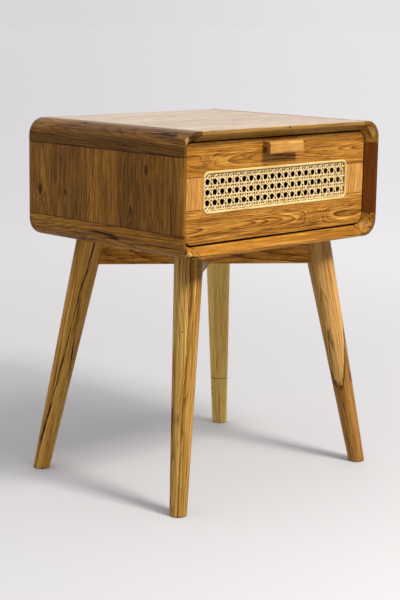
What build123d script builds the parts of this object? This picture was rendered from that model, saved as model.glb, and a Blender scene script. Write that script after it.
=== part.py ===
from build123d import *
import os
from math import atan2, cos, degrees, hypot, radians, sin, tan

# Side table with one drawer: a rounded wooden case open at the front, on four
# splayed turned legs that are tied by two crossed rails under the case.
# Millimetres. +Z is up, -Y is the front, and the origin is on the floor under
# the middle of the case.

os.makedirs("parts", exist_ok=True)

# ---------------------------------------------------------------- dimensions

# Case: a rounded rectangular tube that runs from front to back
CASE_WIDTH = 450
CASE_DEPTH = 360
CASE_HEIGHT = 190
CASE_UNDERSIDE = 395        # height of the underside above the floor
CASE_WALL = 16
CORNER_BLOCK = 37           # square section of the four solid corner pieces
CORNER_RADIUS = 28          # outside
OPENING_RADIUS = 18         # inside
RIM_FLAT = 5.5              # flat band left at the front, outside the bevel
BEVEL_DEPTH = 17            # the bevel runs this far in, to the drawer's face
RIM_EASE = 1.2
JOINT_CHAMFER = 0.5         # groove where a board's end meets a corner piece

# Boards, given as relative widths from front to back
SIDE_BOARD_SHARES = (42, 54, 50, 33, 37, 32, 53, 59)
TOP_BOARD_SHARES = (84, 96, 78, 102)

# Back panel in a rebate, with panel pins
BACK_REBATE_WIDTH = 8
BACK_REBATE_DEPTH = 10
BACK_THICKNESS = 8
PIN_DIAMETER = 1.6
PIN_HEAD_DIAMETER = 3.2
PIN_HEAD_HEIGHT = 0.8
PIN_LENGTH = 22
PIN_INSET_X = 59            # from the opening's sides to the outer top and bottom pins
PIN_INSET_Z = 39            # from the opening's top and bottom to the side pins

# Dowels in the case's joints
CASE_DOWEL_DIAMETER = 6
CASE_DOWEL_LENGTH = 30

# Drawer
DRAWER_GAP = 2              # above and beside the drawer's front
DRAWER_GAP_BELOW = 3.5
FRONT_THICKNESS = 18
FRONT_RAIL_HEIGHT = 51.5
FRONT_EASE = 0.8
SIDE_GAP = 4                # between a drawer side and the case
SIDE_THICKNESS = 14
SIDE_MARGIN = 12            # from the opening's top and bottom to a drawer side
REAR_GAP = 20               # behind the drawer, filled by the stops
DRAWER_BACK_THICKNESS = 12
BOTTOM_THICKNESS = 5
BOTTOM_HEIGHT = 8           # from a side's lower edge up to the bottom panel
BOTTOM_GROOVE = 6

# Cane window in the drawer's front
STILE_FACE = 41             # from the front's side edge to the window
WINDOW_BITE = 7.5           # how far the window is cut into the rail above and below it
WINDOW_RADIUS = 11
WINDOW_LEDGE = 6
WINDOW_REBATE = 3
WINDOW_SHIFT = -2           # the window's middle stands this far left of the front's
CANE_THICKNESS = 1.6
CANE_CLEARANCE = 0.2
CANE_PITCH = 15.9
CANE_HOLE = 8               # across the flats of each eight-sided hole
BEAD_WIDTH = 4
BEAD_PROUD = 1.5
BEAD_EASE = 1.9

# Pull: a hooked wooden bar under the drawer's top edge
PULL_LENGTH = 77
PULL_HEIGHT = 19
PULL_PROJECTION = 15.5
PULL_LIP = 7
PULL_SLAB = 8
PULL_DROP = 5               # from the front's top edge down to the pull
PULL_EASE = 5
PULL_INNER_RADIUS = 2.5
PULL_END_EASE = 2
PULL_SCREW_SPREAD = 44

# Wooden runners on the case's sides, in grooves in the drawer's sides
RUNNER_HEIGHT = 14
RUNNER_THICKNESS = 10
RUNNER_SETBACK = 10         # behind the drawer's front
RUNNER_REAR_GAP = 5
RUNNER_CLEARANCE = 0.3      # above and below
RUNNER_DEPTH_CLEARANCE = 0.7
RUNNER_SCREW_INSET = 30
STOP_WIDTH = 30
STOP_HEIGHT = 34
STOP_INSET = 41             # from a drawer side's inner face to a stop's middle

# Legs and crossed rails
FOOT_INSET_X = 11           # from the case's side to the foot's centre
FOOT_INSET_Y = 14
LEG_SPLAY = 12              # degrees from the vertical, outwards along the rail
LEG_TOP_DIAMETER = 46
LEG_FOOT_DIAMETER = 27
FOOT_EASE = 2
RAIL_HEIGHT = 48
RAIL_THICKNESS = 22
RAIL_EASE = 1.5
RAIL_SCREW_DISTANCE = 90    # along the rail from its middle
RAIL_COUNTERBORE_DEPTH = 24
RAIL_COUNTERBORE_DIAMETER = 11
LEG_DOWEL_DIAMETER = 8
LEG_DOWEL_LENGTH = 44
LEG_DOWEL_MARGIN = 13       # from the rail's top and bottom edges

# Screws and drawer dowels
SCREW_DIAMETER = 3.5
SCREW_HEAD_DIAMETER = 7
SCREW_HEAD_HEIGHT = 2.6
RECESS_WIDTH = 0.8
RECESS_DEPTH = 1.2
RUNNER_SCREW_LENGTH = 21
RAIL_SCREW_LENGTH = 38
PULL_SCREW_LENGTH = 27
DRAWER_DOWEL_DIAMETER = 6
DRAWER_DOWEL_LENGTH = 26
DRAWER_DOWEL_INSET = 14     # from the front rails' inner edges
FRAME_DOWEL_LENGTH = 24

# ------------------------------------------------------------ derived places

CASE_MIDDLE = CASE_UNDERSIDE + CASE_HEIGHT / 2
CASE_TOP = CASE_UNDERSIDE + CASE_HEIGHT
FRONT_PLANE = -CASE_DEPTH / 2
REAR_PLANE = CASE_DEPTH / 2
OPENING_WIDTH = CASE_WIDTH - 2 * CASE_WALL
OPENING_HEIGHT = CASE_HEIGHT - 2 * CASE_WALL
SIDE_BOARD_LENGTH = CASE_HEIGHT - 2 * CORNER_BLOCK
TOP_BOARD_LENGTH = CASE_WIDTH - 2 * CORNER_BLOCK

DRAWER_FACE = FRONT_PLANE + BEVEL_DEPTH
FRONT_BACK = DRAWER_FACE + FRONT_THICKNESS
CASE_REAR_INSIDE = REAR_PLANE - BACK_REBATE_DEPTH
DRAWER_REAR = CASE_REAR_INSIDE - REAR_GAP
FRONT_WIDTH = OPENING_WIDTH - 2 * DRAWER_GAP
FRONT_HEIGHT = OPENING_HEIGHT - DRAWER_GAP - DRAWER_GAP_BELOW
FRONT_MIDDLE = CASE_MIDDLE + (DRAWER_GAP_BELOW - DRAWER_GAP) / 2
SIDE_OUTSIDE = OPENING_WIDTH / 2 - SIDE_GAP
SIDE_INSIDE = SIDE_OUTSIDE - SIDE_THICKNESS
SIDE_LOW = CASE_UNDERSIDE + CASE_WALL + SIDE_MARGIN
SIDE_HIGH = CASE_TOP - CASE_WALL - SIDE_MARGIN
SIDE_LENGTH = DRAWER_REAR - FRONT_BACK
BOTTOM_LOW = SIDE_LOW + BOTTOM_HEIGHT
BOTTOM_HIGH = BOTTOM_LOW + BOTTOM_THICKNESS
STILE_LENGTH = FRONT_HEIGHT - 2 * FRONT_RAIL_HEIGHT
WINDOW_WIDTH = FRONT_WIDTH - 2 * STILE_FACE
WINDOW_HEIGHT = STILE_LENGTH + 2 * WINDOW_BITE
CANE_COLUMNS = int((WINDOW_WIDTH - 2 * BEAD_WIDTH) / CANE_PITCH)
CANE_ROWS = int((WINDOW_HEIGHT - 2 * BEAD_WIDTH) / CANE_PITCH)
RUNNER_FRONT = FRONT_BACK + RUNNER_SETBACK
RUNNER_REAR = CASE_REAR_INSIDE - RUNNER_REAR_GAP

FOOT_X = CASE_WIDTH / 2 - FOOT_INSET_X
FOOT_Y = CASE_DEPTH / 2 - FOOT_INSET_Y
FOOT_DISTANCE = hypot(FOOT_X, FOOT_Y)
RAIL_ANGLE = degrees(atan2(FOOT_Y, FOOT_X))
RAIL_LOW = CASE_UNDERSIDE - RAIL_HEIGHT
LEG_LEAN = tan(radians(LEG_SPLAY))

FRONT_VIEW = Plane.XZ.offset(-FRONT_PLANE)
ON_BASE = (Align.CENTER, Align.CENTER, Align.MIN)
UNDER_TOP = (Align.CENTER, Align.CENTER, Align.MAX)
LEFT = -1
RIGHT = 1
SIDES = (("left", LEFT), ("right", RIGHT))


def keep(piece, name):
    """Label a finished piece and write it as one STEP file."""
    piece.part.label = name
    export_step(piece.part, f"parts/{name}.step")


def board_places(shares):
    """Centre and width of each board, front to back, filling the case's depth."""
    places = []
    start = FRONT_PLANE
    for share in shares:
        width = CASE_DEPTH * share / sum(shares)
        places.append((start + width / 2, width))
        start += width
    return places


def leg_distance(height):
    """How far a leg's axis stands from the table's middle at a height."""
    return FOOT_DISTANCE - height * LEG_LEAN


def leg_radius(height):
    """A leg's radius, square to its axis, at a height."""
    growth = (LEG_TOP_DIAMETER - LEG_FOOT_DIAMETER) / 2
    return LEG_FOOT_DIAMETER / 2 + growth * height / CASE_UNDERSIDE


def dowel(start, direction, diameter, length):
    """Add one plain dowel, centred on a point, to the part being built."""
    with Locations(Plane(origin=start, z_dir=direction)):
        Cylinder(diameter / 2, length)


def screw_shank(seat, direction, length):
    """Add a screw's plain shank, which starts at its head's seat."""
    with Locations(Plane(origin=seat, z_dir=direction)):
        Cylinder(SCREW_DIAMETER / 2, length, align=ON_BASE)


def cross_recess(face, direction):
    """Cut the crossed drive slots into the face of a screw's head."""
    with Locations(Plane(origin=face, z_dir=direction)):
        Box(SCREW_DIAMETER, RECESS_WIDTH, RECESS_DEPTH, align=ON_BASE, mode=Mode.SUBTRACT)
        Box(RECESS_WIDTH, SCREW_DIAMETER, RECESS_DEPTH, align=ON_BASE, mode=Mode.SUBTRACT)


def pan_screw(seat, direction, length):
    """Add one screw whose round head stands on the wood behind its seat."""
    screw_shank(seat, direction, length)
    with Locations(Plane(origin=seat, z_dir=direction)):
        Cylinder(SCREW_HEAD_DIAMETER / 2, SCREW_HEAD_HEIGHT, align=UNDER_TOP)
    cross_recess(Vector(seat) - Vector(direction) * SCREW_HEAD_HEIGHT, direction)


def sunk_screw(seat, direction, length):
    """Add one screw whose cone head is sunk flush with the wood."""
    screw_shank(seat, direction, length)
    with Locations(Plane(origin=seat, z_dir=direction)):
        Cone(SCREW_HEAD_DIAMETER / 2, SCREW_DIAMETER / 2, SCREW_HEAD_HEIGHT, align=ON_BASE)


# ------------------------------------------------------- fasteners in the case

# Two dowels for each board, one at each end, into the corner pieces
with BuildPart() as case_dowels:
    for _, side in SIDES:
        for centre, _ in board_places(SIDE_BOARD_SHARES):
            wall = side * (CASE_WIDTH - CASE_WALL) / 2
            for joint in (CASE_UNDERSIDE + CORNER_BLOCK, CASE_TOP - CORNER_BLOCK):
                dowel((wall, centre, joint), (0, 0, 1), CASE_DOWEL_DIAMETER, CASE_DOWEL_LENGTH)
        for centre, _ in board_places(TOP_BOARD_SHARES):
            joint = side * TOP_BOARD_LENGTH / 2
            for wall in (CASE_UNDERSIDE + CASE_WALL / 2, CASE_TOP - CASE_WALL / 2):
                dowel((joint, centre, wall), (1, 0, 0), CASE_DOWEL_DIAMETER, CASE_DOWEL_LENGTH)
keep(case_dowels, "case_dowels")

PIN_X = (OPENING_WIDTH + BACK_REBATE_WIDTH) / 2
PIN_Z = (OPENING_HEIGHT + BACK_REBATE_WIDTH) / 2
BACK_OUTSIDE = CASE_REAR_INSIDE + BACK_THICKNESS
OUTER_PIN_X = OPENING_WIDTH / 2 - PIN_INSET_X
OUTER_PIN_Z = OPENING_HEIGHT / 2 - PIN_INSET_Z
pin_places = [(x, z) for x in (-OUTER_PIN_X, 0, OUTER_PIN_X) for z in (-PIN_Z, PIN_Z)]
pin_places += [(x, z) for x in (-PIN_X, PIN_X) for z in (-OUTER_PIN_Z, OUTER_PIN_Z)]

with BuildPart() as back_pins:
    for x, z in pin_places:
        with Locations(Plane(origin=(x, BACK_OUTSIDE, CASE_MIDDLE + z), z_dir=(0, -1, 0))):
            Cylinder(PIN_DIAMETER / 2, PIN_LENGTH, align=ON_BASE)
            Cylinder(PIN_HEAD_DIAMETER / 2, PIN_HEAD_HEIGHT, align=UNDER_TOP)
keep(back_pins, "back_pins")

RUNNER_SCREW_PLACES = [
    ((side * (OPENING_WIDTH / 2 - RUNNER_THICKNESS), y, CASE_MIDDLE), (side, 0, 0))
    for side in (LEFT, RIGHT)
    for y in (
        RUNNER_FRONT + RUNNER_SCREW_INSET,
        (RUNNER_FRONT + RUNNER_REAR) / 2,
        RUNNER_REAR - RUNNER_SCREW_INSET,
    )
]
with BuildPart() as runner_screw_holes:
    for seat, direction in RUNNER_SCREW_PLACES:
        sunk_screw(seat, direction, RUNNER_SCREW_LENGTH)
with BuildPart() as runner_screws:
    add(runner_screw_holes.part)
    for seat, direction in RUNNER_SCREW_PLACES:
        cross_recess(seat, direction)
keep(runner_screws, "runner_screws")

RAIL_SCREW_PLACES = [
    (
        end * RAIL_SCREW_DISTANCE * cos(radians(turn * RAIL_ANGLE)),
        end * RAIL_SCREW_DISTANCE * sin(radians(turn * RAIL_ANGLE)),
    )
    for turn in (1, -1)
    for end in (1, -1)
]
with BuildPart() as rail_screws:
    for x, y in RAIL_SCREW_PLACES:
        seat = (x, y, RAIL_LOW + RAIL_COUNTERBORE_DEPTH)
        pan_screw(seat, (0, 0, 1), RAIL_SCREW_LENGTH)
keep(rail_screws, "rail_screws")

# --------------------------------------------------------------------- case

# The whole rounded shell, from which every board and corner piece is cut
with BuildPart() as shell:
    with BuildSketch(FRONT_VIEW):
        with Locations((0, CASE_MIDDLE)):
            RectangleRounded(CASE_WIDTH, CASE_HEIGHT, CORNER_RADIUS)
    extrude(amount=-CASE_DEPTH)
    fillet(shell.faces().sort_by(Axis.Y)[0].edges(), RIM_EASE)
    fillet(shell.faces().sort_by(Axis.Y)[-1].edges(), RIM_EASE)
    with BuildSketch(FRONT_VIEW):
        with Locations((0, CASE_MIDDLE)):
            RectangleRounded(OPENING_WIDTH, OPENING_HEIGHT, OPENING_RADIUS)
    extrude(amount=-CASE_DEPTH, mode=Mode.SUBTRACT)
    # Bevel round the front of the opening
    with BuildSketch(FRONT_VIEW):
        with Locations((0, CASE_MIDDLE)):
            RectangleRounded(
                CASE_WIDTH - 2 * RIM_FLAT, CASE_HEIGHT - 2 * RIM_FLAT, CORNER_RADIUS - RIM_FLAT
            )
    with BuildSketch(FRONT_VIEW.offset(-BEVEL_DEPTH)):
        with Locations((0, CASE_MIDDLE)):
            RectangleRounded(OPENING_WIDTH, OPENING_HEIGHT, OPENING_RADIUS)
    loft(mode=Mode.SUBTRACT)
    # Rebate for the back panel
    with BuildSketch(Plane.XZ.offset(-REAR_PLANE)):
        with Locations((0, CASE_MIDDLE)):
            RectangleRounded(
                OPENING_WIDTH + 2 * BACK_REBATE_WIDTH,
                OPENING_HEIGHT + 2 * BACK_REBATE_WIDTH,
                OPENING_RADIUS + BACK_REBATE_WIDTH,
            )
    extrude(amount=BACK_REBATE_DEPTH, mode=Mode.SUBTRACT)


def drill_case():
    """Open the holes of the case's fasteners in the piece being built."""
    for fasteners in (case_dowels, back_pins, runner_screw_holes, rail_screws):
        add(fasteners.part, mode=Mode.SUBTRACT)


# Corner pieces: solid lengths with the grain running front to back
for level_name, level in (("top", 1), ("bottom", -1)):
    for side_name, side in SIDES:
        with BuildPart() as corner_block:
            add(shell.part)
            with BuildSketch(FRONT_VIEW):
                x = side * (CASE_WIDTH - CORNER_BLOCK) / 2
                z = level * (CASE_HEIGHT - CORNER_BLOCK) / 2
                with Locations((x, CASE_MIDDLE + z)):
                    Rectangle(CORNER_BLOCK, CORNER_BLOCK)
            extrude(amount=-CASE_DEPTH, mode=Mode.INTERSECT)
            drill_case()
        keep(corner_block, f"corner_block_{level_name}_{side_name}")

# Side boards: upright staves glued edge to edge
for side_name, side in SIDES:
    for number, (centre, width) in enumerate(board_places(SIDE_BOARD_SHARES), start=1):
        with BuildPart() as side_board:
            add(shell.part)
            with BuildSketch(Plane.XY.offset(CASE_UNDERSIDE + CORNER_BLOCK)):
                with Locations((side * (CASE_WIDTH - CASE_WALL) / 2, centre)):
                    Rectangle(CASE_WALL, width)
            extrude(amount=SIDE_BOARD_LENGTH, mode=Mode.INTERSECT)
            outside = -1 if side == RIGHT else 0
            chamfer(side_board.edges().filter_by(Axis.Y).group_by(Axis.X)[outside], JOINT_CHAMFER)
            drill_case()
        keep(side_board, f"{side_name}_board_{number}")

# Top and bottom boards, with the grain from side to side
for level_name, low, outside in (("top", CASE_TOP - CASE_WALL, -1), ("bottom", CASE_UNDERSIDE, 0)):
    for number, (centre, width) in enumerate(board_places(TOP_BOARD_SHARES), start=1):
        with BuildPart() as flat_board:
            add(shell.part)
            with BuildSketch(Plane.XY.offset(low)):
                with Locations((0, centre)):
                    Rectangle(TOP_BOARD_LENGTH, width)
            extrude(amount=CASE_WALL, mode=Mode.INTERSECT)
            chamfer(flat_board.edges().filter_by(Axis.Y).group_by(Axis.Z)[outside], JOINT_CHAMFER)
            drill_case()
        keep(flat_board, f"{level_name}_board_{number}")

with BuildPart() as back_panel:
    with BuildSketch(Plane.XZ.offset(-CASE_REAR_INSIDE)):
        with Locations((0, CASE_MIDDLE)):
            RectangleRounded(
                OPENING_WIDTH + 2 * BACK_REBATE_WIDTH,
                OPENING_HEIGHT + 2 * BACK_REBATE_WIDTH,
                OPENING_RADIUS + BACK_REBATE_WIDTH,
            )
    extrude(amount=-BACK_THICKNESS)
    add(back_pins.part, mode=Mode.SUBTRACT)
keep(back_panel, "back_panel")

# Runners, screwed to the inside of the case
for side_name, side in SIDES:
    with BuildPart() as runner:
        with BuildSketch(Plane.XY.offset(CASE_MIDDLE - RUNNER_HEIGHT / 2)):
            with Locations(
                (side * (OPENING_WIDTH - RUNNER_THICKNESS) / 2, (RUNNER_FRONT + RUNNER_REAR) / 2)
            ):
                Rectangle(RUNNER_THICKNESS, RUNNER_REAR - RUNNER_FRONT)
        extrude(amount=RUNNER_HEIGHT)
        add(runner_screw_holes.part, mode=Mode.SUBTRACT)
    keep(runner, f"{side_name}_runner")

# Two blocks behind the drawer, which it meets when it is shut
with BuildPart() as drawer_stops:
    with BuildSketch(Plane.XY.offset(CASE_UNDERSIDE + CASE_WALL)):
        stop_y = DRAWER_REAR + REAR_GAP / 2
        with Locations((STOP_INSET - SIDE_INSIDE, stop_y), (SIDE_INSIDE - STOP_INSET, stop_y)):
            Rectangle(STOP_WIDTH, REAR_GAP)
    extrude(amount=STOP_HEIGHT)
keep(drawer_stops, "drawer_stops")

# ------------------------------------------------------------ legs and rails


def make_leg(side, end):
    """A turned, tapered leg that leans outwards, cut level at its two ends."""
    foot = Vector(side * FOOT_X, end * FOOT_Y, 0)
    inwards = Vector(-side * FOOT_X, -end * FOOT_Y, 0).normalized()
    axis = inwards * LEG_LEAN + Vector(0, 0, 1)
    spare = LEG_TOP_DIAMETER
    with BuildPart() as leg:
        with Locations(Plane(origin=foot - axis * spare, z_dir=axis)):
            Cone(
                leg_radius(-spare),
                leg_radius(CASE_UNDERSIDE + spare),
                (CASE_UNDERSIDE + 2 * spare) / cos(radians(LEG_SPLAY)),
                align=(Align.CENTER, Align.CENTER, Align.MIN),
            )
        split(bisect_by=Plane.XY, keep=Keep.TOP)
        split(bisect_by=Plane.XY.offset(CASE_UNDERSIDE), keep=Keep.BOTTOM)
        fillet(leg.edges().group_by(Axis.Z)[0], FOOT_EASE)
        add(leg_dowels.part, mode=Mode.SUBTRACT)
    return leg


# Two dowels at each joint, one above the other
with BuildPart() as leg_dowels:
    for side in (LEFT, RIGHT):
        for end in (-1, 1):
            outwards = Vector(side * FOOT_X, end * FOOT_Y, 0).normalized()
            for height in (RAIL_LOW + LEG_DOWEL_MARGIN, CASE_UNDERSIDE - LEG_DOWEL_MARGIN):
                joint = leg_distance(height) - leg_radius(height) / cos(radians(LEG_SPLAY))
                place = outwards * joint + Vector(0, 0, height)
                dowel(place, outwards, LEG_DOWEL_DIAMETER, LEG_DOWEL_LENGTH)
keep(leg_dowels, "leg_dowels")

legs = {}
for end_name, end in (("front", -1), ("back", 1)):
    for side_name, side in SIDES:
        leg = make_leg(side, end)
        legs[side, end] = leg
        keep(leg, f"leg_{end_name}_{side_name}")

# The rails halve into each other where they cross: one is notched from above
# and the other from below.
RAIL_REACH = 2 * leg_distance(CASE_UNDERSIDE - RAIL_HEIGHT / 2)
NOTCH_HEIGHT = RAIL_HEIGHT / 2
for rail_name, turn, notch_low in (("a", 1, RAIL_LOW + NOTCH_HEIGHT), ("b", -1, RAIL_LOW)):
    with BuildPart() as cross_rail:
        with BuildSketch(Plane.XY.offset(RAIL_LOW)):
            Rectangle(RAIL_REACH, RAIL_THICKNESS, rotation=turn * RAIL_ANGLE)
        extrude(amount=RAIL_HEIGHT)
        long_edges = cross_rail.faces().sort_by(Axis.Z)[0].edges().sort_by(SortBy.LENGTH)[-2:]
        chamfer(long_edges, RAIL_EASE)
        with BuildSketch(Plane.XY.offset(notch_low)):
            Rectangle(RAIL_REACH, RAIL_THICKNESS, rotation=-turn * RAIL_ANGLE)
        extrude(amount=NOTCH_HEIGHT, mode=Mode.SUBTRACT)
        with BuildSketch(Plane.XY.offset(RAIL_LOW)):
            with Locations(*RAIL_SCREW_PLACES):
                Circle(RAIL_COUNTERBORE_DIAMETER / 2)
        extrude(amount=RAIL_COUNTERBORE_DEPTH, mode=Mode.SUBTRACT)
        add(rail_screws.part, mode=Mode.SUBTRACT)
        add(leg_dowels.part, mode=Mode.SUBTRACT)
        for side in (LEFT, RIGHT):
            add(legs[side, turn * side].part, mode=Mode.SUBTRACT)
    keep(cross_rail, f"cross_rail_{rail_name}")

# ------------------------------------------------------------ drawer fasteners

STILE_MIDDLE = (FRONT_WIDTH - STILE_FACE) / 2
RAIL_JOINT = STILE_LENGTH / 2
with BuildPart() as frame_dowels:
    for _, side in SIDES:
        for joint in (-RAIL_JOINT, RAIL_JOINT):
            place = (side * STILE_MIDDLE, DRAWER_FACE + FRONT_THICKNESS / 2, FRONT_MIDDLE + joint)
            dowel(place, (0, 0, 1), DRAWER_DOWEL_DIAMETER, FRAME_DOWEL_LENGTH)
keep(frame_dowels, "frame_dowels")

# Two dowels at each corner of the drawer box
DOWEL_RISE = STILE_LENGTH / 2 + DRAWER_DOWEL_INSET
DRAWER_BACK_MIDDLE = DRAWER_REAR - DRAWER_BACK_THICKNESS / 2
with BuildPart() as drawer_dowels:
    for _, side in SIDES:
        for rise in (-DOWEL_RISE, DOWEL_RISE):
            height = FRONT_MIDDLE + rise
            front_joint = (side * (SIDE_OUTSIDE + SIDE_INSIDE) / 2, FRONT_BACK, height)
            dowel(front_joint, (0, 1, 0), DRAWER_DOWEL_DIAMETER, DRAWER_DOWEL_LENGTH)
            back_joint = (side * SIDE_INSIDE, DRAWER_BACK_MIDDLE, height)
            dowel(back_joint, (1, 0, 0), DRAWER_DOWEL_DIAMETER, DRAWER_DOWEL_LENGTH)
keep(drawer_dowels, "drawer_dowels")

PULL_TOP = FRONT_MIDDLE + FRONT_HEIGHT / 2 - PULL_DROP
with BuildPart() as pull_screws:
    for x in (-PULL_SCREW_SPREAD / 2, PULL_SCREW_SPREAD / 2):
        seat = (x, FRONT_BACK, PULL_TOP - PULL_SLAB / 2)
        pan_screw(seat, (0, -1, 0), PULL_SCREW_LENGTH)
keep(pull_screws, "pull_screws")

# -------------------------------------------------------------- drawer front

# The front as one blank, from which its two rails and two stiles are cut
with BuildPart() as front_blank:
    with BuildSketch(Plane.XZ.offset(-DRAWER_FACE)):
        with Locations((0, FRONT_MIDDLE)):
            RectangleRounded(FRONT_WIDTH, FRONT_HEIGHT, OPENING_RADIUS - DRAWER_GAP)
    extrude(amount=-FRONT_THICKNESS)
    fillet(front_blank.faces().sort_by(Axis.Y)[0].edges(), FRONT_EASE)
    with BuildSketch(Plane.XZ.offset(-DRAWER_FACE)):
        with Locations((WINDOW_SHIFT, FRONT_MIDDLE)):
            RectangleRounded(WINDOW_WIDTH, WINDOW_HEIGHT, WINDOW_RADIUS)
    extrude(amount=-WINDOW_REBATE, mode=Mode.SUBTRACT)
    with BuildSketch(Plane.XZ.offset(-DRAWER_FACE)):
        with Locations((WINDOW_SHIFT, FRONT_MIDDLE)):
            RectangleRounded(
                WINDOW_WIDTH - 2 * WINDOW_LEDGE,
                WINDOW_HEIGHT - 2 * WINDOW_LEDGE,
                WINDOW_RADIUS - WINDOW_LEDGE,
            )
    extrude(amount=-FRONT_THICKNESS, mode=Mode.SUBTRACT)
    # Groove for the front edge of the bottom panel
    with BuildSketch(Plane.XY.offset(BOTTOM_LOW)):
        with Locations((0, FRONT_BACK - BOTTOM_GROOVE / 2)):
            Rectangle(2 * (SIDE_INSIDE + BOTTOM_GROOVE), BOTTOM_GROOVE)
    extrude(amount=BOTTOM_THICKNESS, mode=Mode.SUBTRACT)


def cut_front(width, height, x, z):
    """Cut one member out of the front's blank: a block centred on x and z."""
    with BuildPart() as member:
        add(front_blank.part)
        with BuildSketch(Plane.XZ.offset(-DRAWER_FACE)):
            with Locations((x, z)):
                Rectangle(width, height)
        extrude(amount=-FRONT_THICKNESS, mode=Mode.INTERSECT)
        for fasteners in (frame_dowels, drawer_dowels, pull_screws):
            add(fasteners.part, mode=Mode.SUBTRACT)
    return member


RAIL_RISE = (FRONT_HEIGHT - FRONT_RAIL_HEIGHT) / 2
keep(cut_front(FRONT_WIDTH, FRONT_RAIL_HEIGHT, 0, FRONT_MIDDLE + RAIL_RISE), "front_top_rail")
keep(cut_front(FRONT_WIDTH, FRONT_RAIL_HEIGHT, 0, FRONT_MIDDLE - RAIL_RISE), "front_bottom_rail")
for side_name, side in SIDES:
    stile_width = STILE_FACE + WINDOW_LEDGE + side * -WINDOW_SHIFT
    x = side * (FRONT_WIDTH - stile_width) / 2
    keep(cut_front(stile_width, STILE_LENGTH, x, FRONT_MIDDLE), f"front_{side_name}_stile")

CANE_BACK = DRAWER_FACE + WINDOW_REBATE
with BuildPart() as cane_panel:
    with BuildSketch(Plane.XZ.offset(-CANE_BACK)):
        with Locations((WINDOW_SHIFT, FRONT_MIDDLE)):
            RectangleRounded(
                WINDOW_WIDTH - 2 * CANE_CLEARANCE,
                WINDOW_HEIGHT - 2 * CANE_CLEARANCE,
                WINDOW_RADIUS - CANE_CLEARANCE,
            )
            with GridLocations(CANE_PITCH, CANE_PITCH, CANE_COLUMNS, CANE_ROWS):
                RegularPolygon(
                    CANE_HOLE / 2, 8, major_radius=False, rotation=22.5, mode=Mode.SUBTRACT
                )
    extrude(amount=CANE_THICKNESS)
keep(cane_panel, "cane_panel")

# Split cane bead, wedged round the edge of the window over the webbing
with BuildPart() as cane_bead:
    with BuildSketch(Plane.XZ.offset(-CANE_BACK + CANE_THICKNESS)):
        with Locations((WINDOW_SHIFT, FRONT_MIDDLE)):
            RectangleRounded(WINDOW_WIDTH, WINDOW_HEIGHT, WINDOW_RADIUS)
            RectangleRounded(
                WINDOW_WIDTH - 2 * BEAD_WIDTH,
                WINDOW_HEIGHT - 2 * BEAD_WIDTH,
                WINDOW_RADIUS - BEAD_WIDTH,
                mode=Mode.SUBTRACT,
            )
    extrude(amount=WINDOW_REBATE - CANE_THICKNESS + BEAD_PROUD)
    fillet(cane_bead.faces().sort_by(Axis.Y)[0].edges(), BEAD_EASE)
keep(cane_bead, "cane_bead")

# The pull's section, seen from the side: a slab out of the front, then a lip down
with BuildPart() as pull_handle:
    with BuildSketch(Plane.YZ.offset(-PULL_LENGTH / 2)):
        with Locations((DRAWER_FACE, PULL_TOP)):
            Rectangle(PULL_PROJECTION, PULL_HEIGHT, align=(Align.MAX, Align.MAX))
        with Locations((DRAWER_FACE, PULL_TOP - PULL_SLAB)):
            Rectangle(
                PULL_PROJECTION - PULL_LIP,
                PULL_HEIGHT - PULL_SLAB,
                align=(Align.MAX, Align.MAX),
                mode=Mode.SUBTRACT,
            )
    extrude(amount=PULL_LENGTH)
    front_edges = pull_handle.edges().filter_by(Axis.X).group_by(Axis.Y)[0]
    fillet(front_edges.sort_by(Axis.Z)[-1], PULL_EASE)
    fillet(pull_handle.edges().filter_by(Axis.X).group_by(Axis.Y)[0].sort_by(Axis.Z)[0], PULL_END_EASE)
    gap_top = PULL_TOP - PULL_SLAB
    inner_edges = pull_handle.edges().filter_by(Axis.X).filter_by_position(
        Axis.Z, gap_top - 0.01, gap_top + 0.01
    )
    fillet(inner_edges.sort_by(Axis.Y)[0], PULL_INNER_RADIUS)
    add(pull_screws.part, mode=Mode.SUBTRACT)
keep(pull_handle, "pull_handle")

# ---------------------------------------------------------------- drawer box

for side_name, side in SIDES:
    with BuildPart() as drawer_side:
        with BuildSketch(Plane.XY.offset(SIDE_LOW)):
            with Locations((side * (SIDE_OUTSIDE + SIDE_INSIDE) / 2, (FRONT_BACK + DRAWER_REAR) / 2)):
                Rectangle(SIDE_THICKNESS, SIDE_LENGTH)
        extrude(amount=SIDE_HIGH - SIDE_LOW)
        # Groove outside for the runner
        groove_depth = RUNNER_THICKNESS - SIDE_GAP + RUNNER_DEPTH_CLEARANCE
        with BuildSketch(Plane.XY.offset(CASE_MIDDLE - RUNNER_HEIGHT / 2 - RUNNER_CLEARANCE)):
            with Locations((side * (SIDE_OUTSIDE - groove_depth / 2), (FRONT_BACK + DRAWER_REAR) / 2)):
                Rectangle(groove_depth, SIDE_LENGTH)
        extrude(amount=RUNNER_HEIGHT + 2 * RUNNER_CLEARANCE, mode=Mode.SUBTRACT)
        # Groove inside for the bottom panel
        with BuildSketch(Plane.XY.offset(BOTTOM_LOW)):
            with Locations((side * (SIDE_INSIDE + BOTTOM_GROOVE / 2), (FRONT_BACK + DRAWER_REAR) / 2)):
                Rectangle(BOTTOM_GROOVE, SIDE_LENGTH)
        extrude(amount=BOTTOM_THICKNESS, mode=Mode.SUBTRACT)
        add(drawer_dowels.part, mode=Mode.SUBTRACT)
    keep(drawer_side, f"drawer_{side_name}_side")

with BuildPart() as drawer_back:
    with BuildSketch(Plane.XY.offset(BOTTOM_HIGH)):
        with Locations((0, DRAWER_BACK_MIDDLE)):
            Rectangle(2 * SIDE_INSIDE, DRAWER_BACK_THICKNESS)
    extrude(amount=SIDE_HIGH - BOTTOM_HIGH)
    add(drawer_dowels.part, mode=Mode.SUBTRACT)
keep(drawer_back, "drawer_back")

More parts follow.
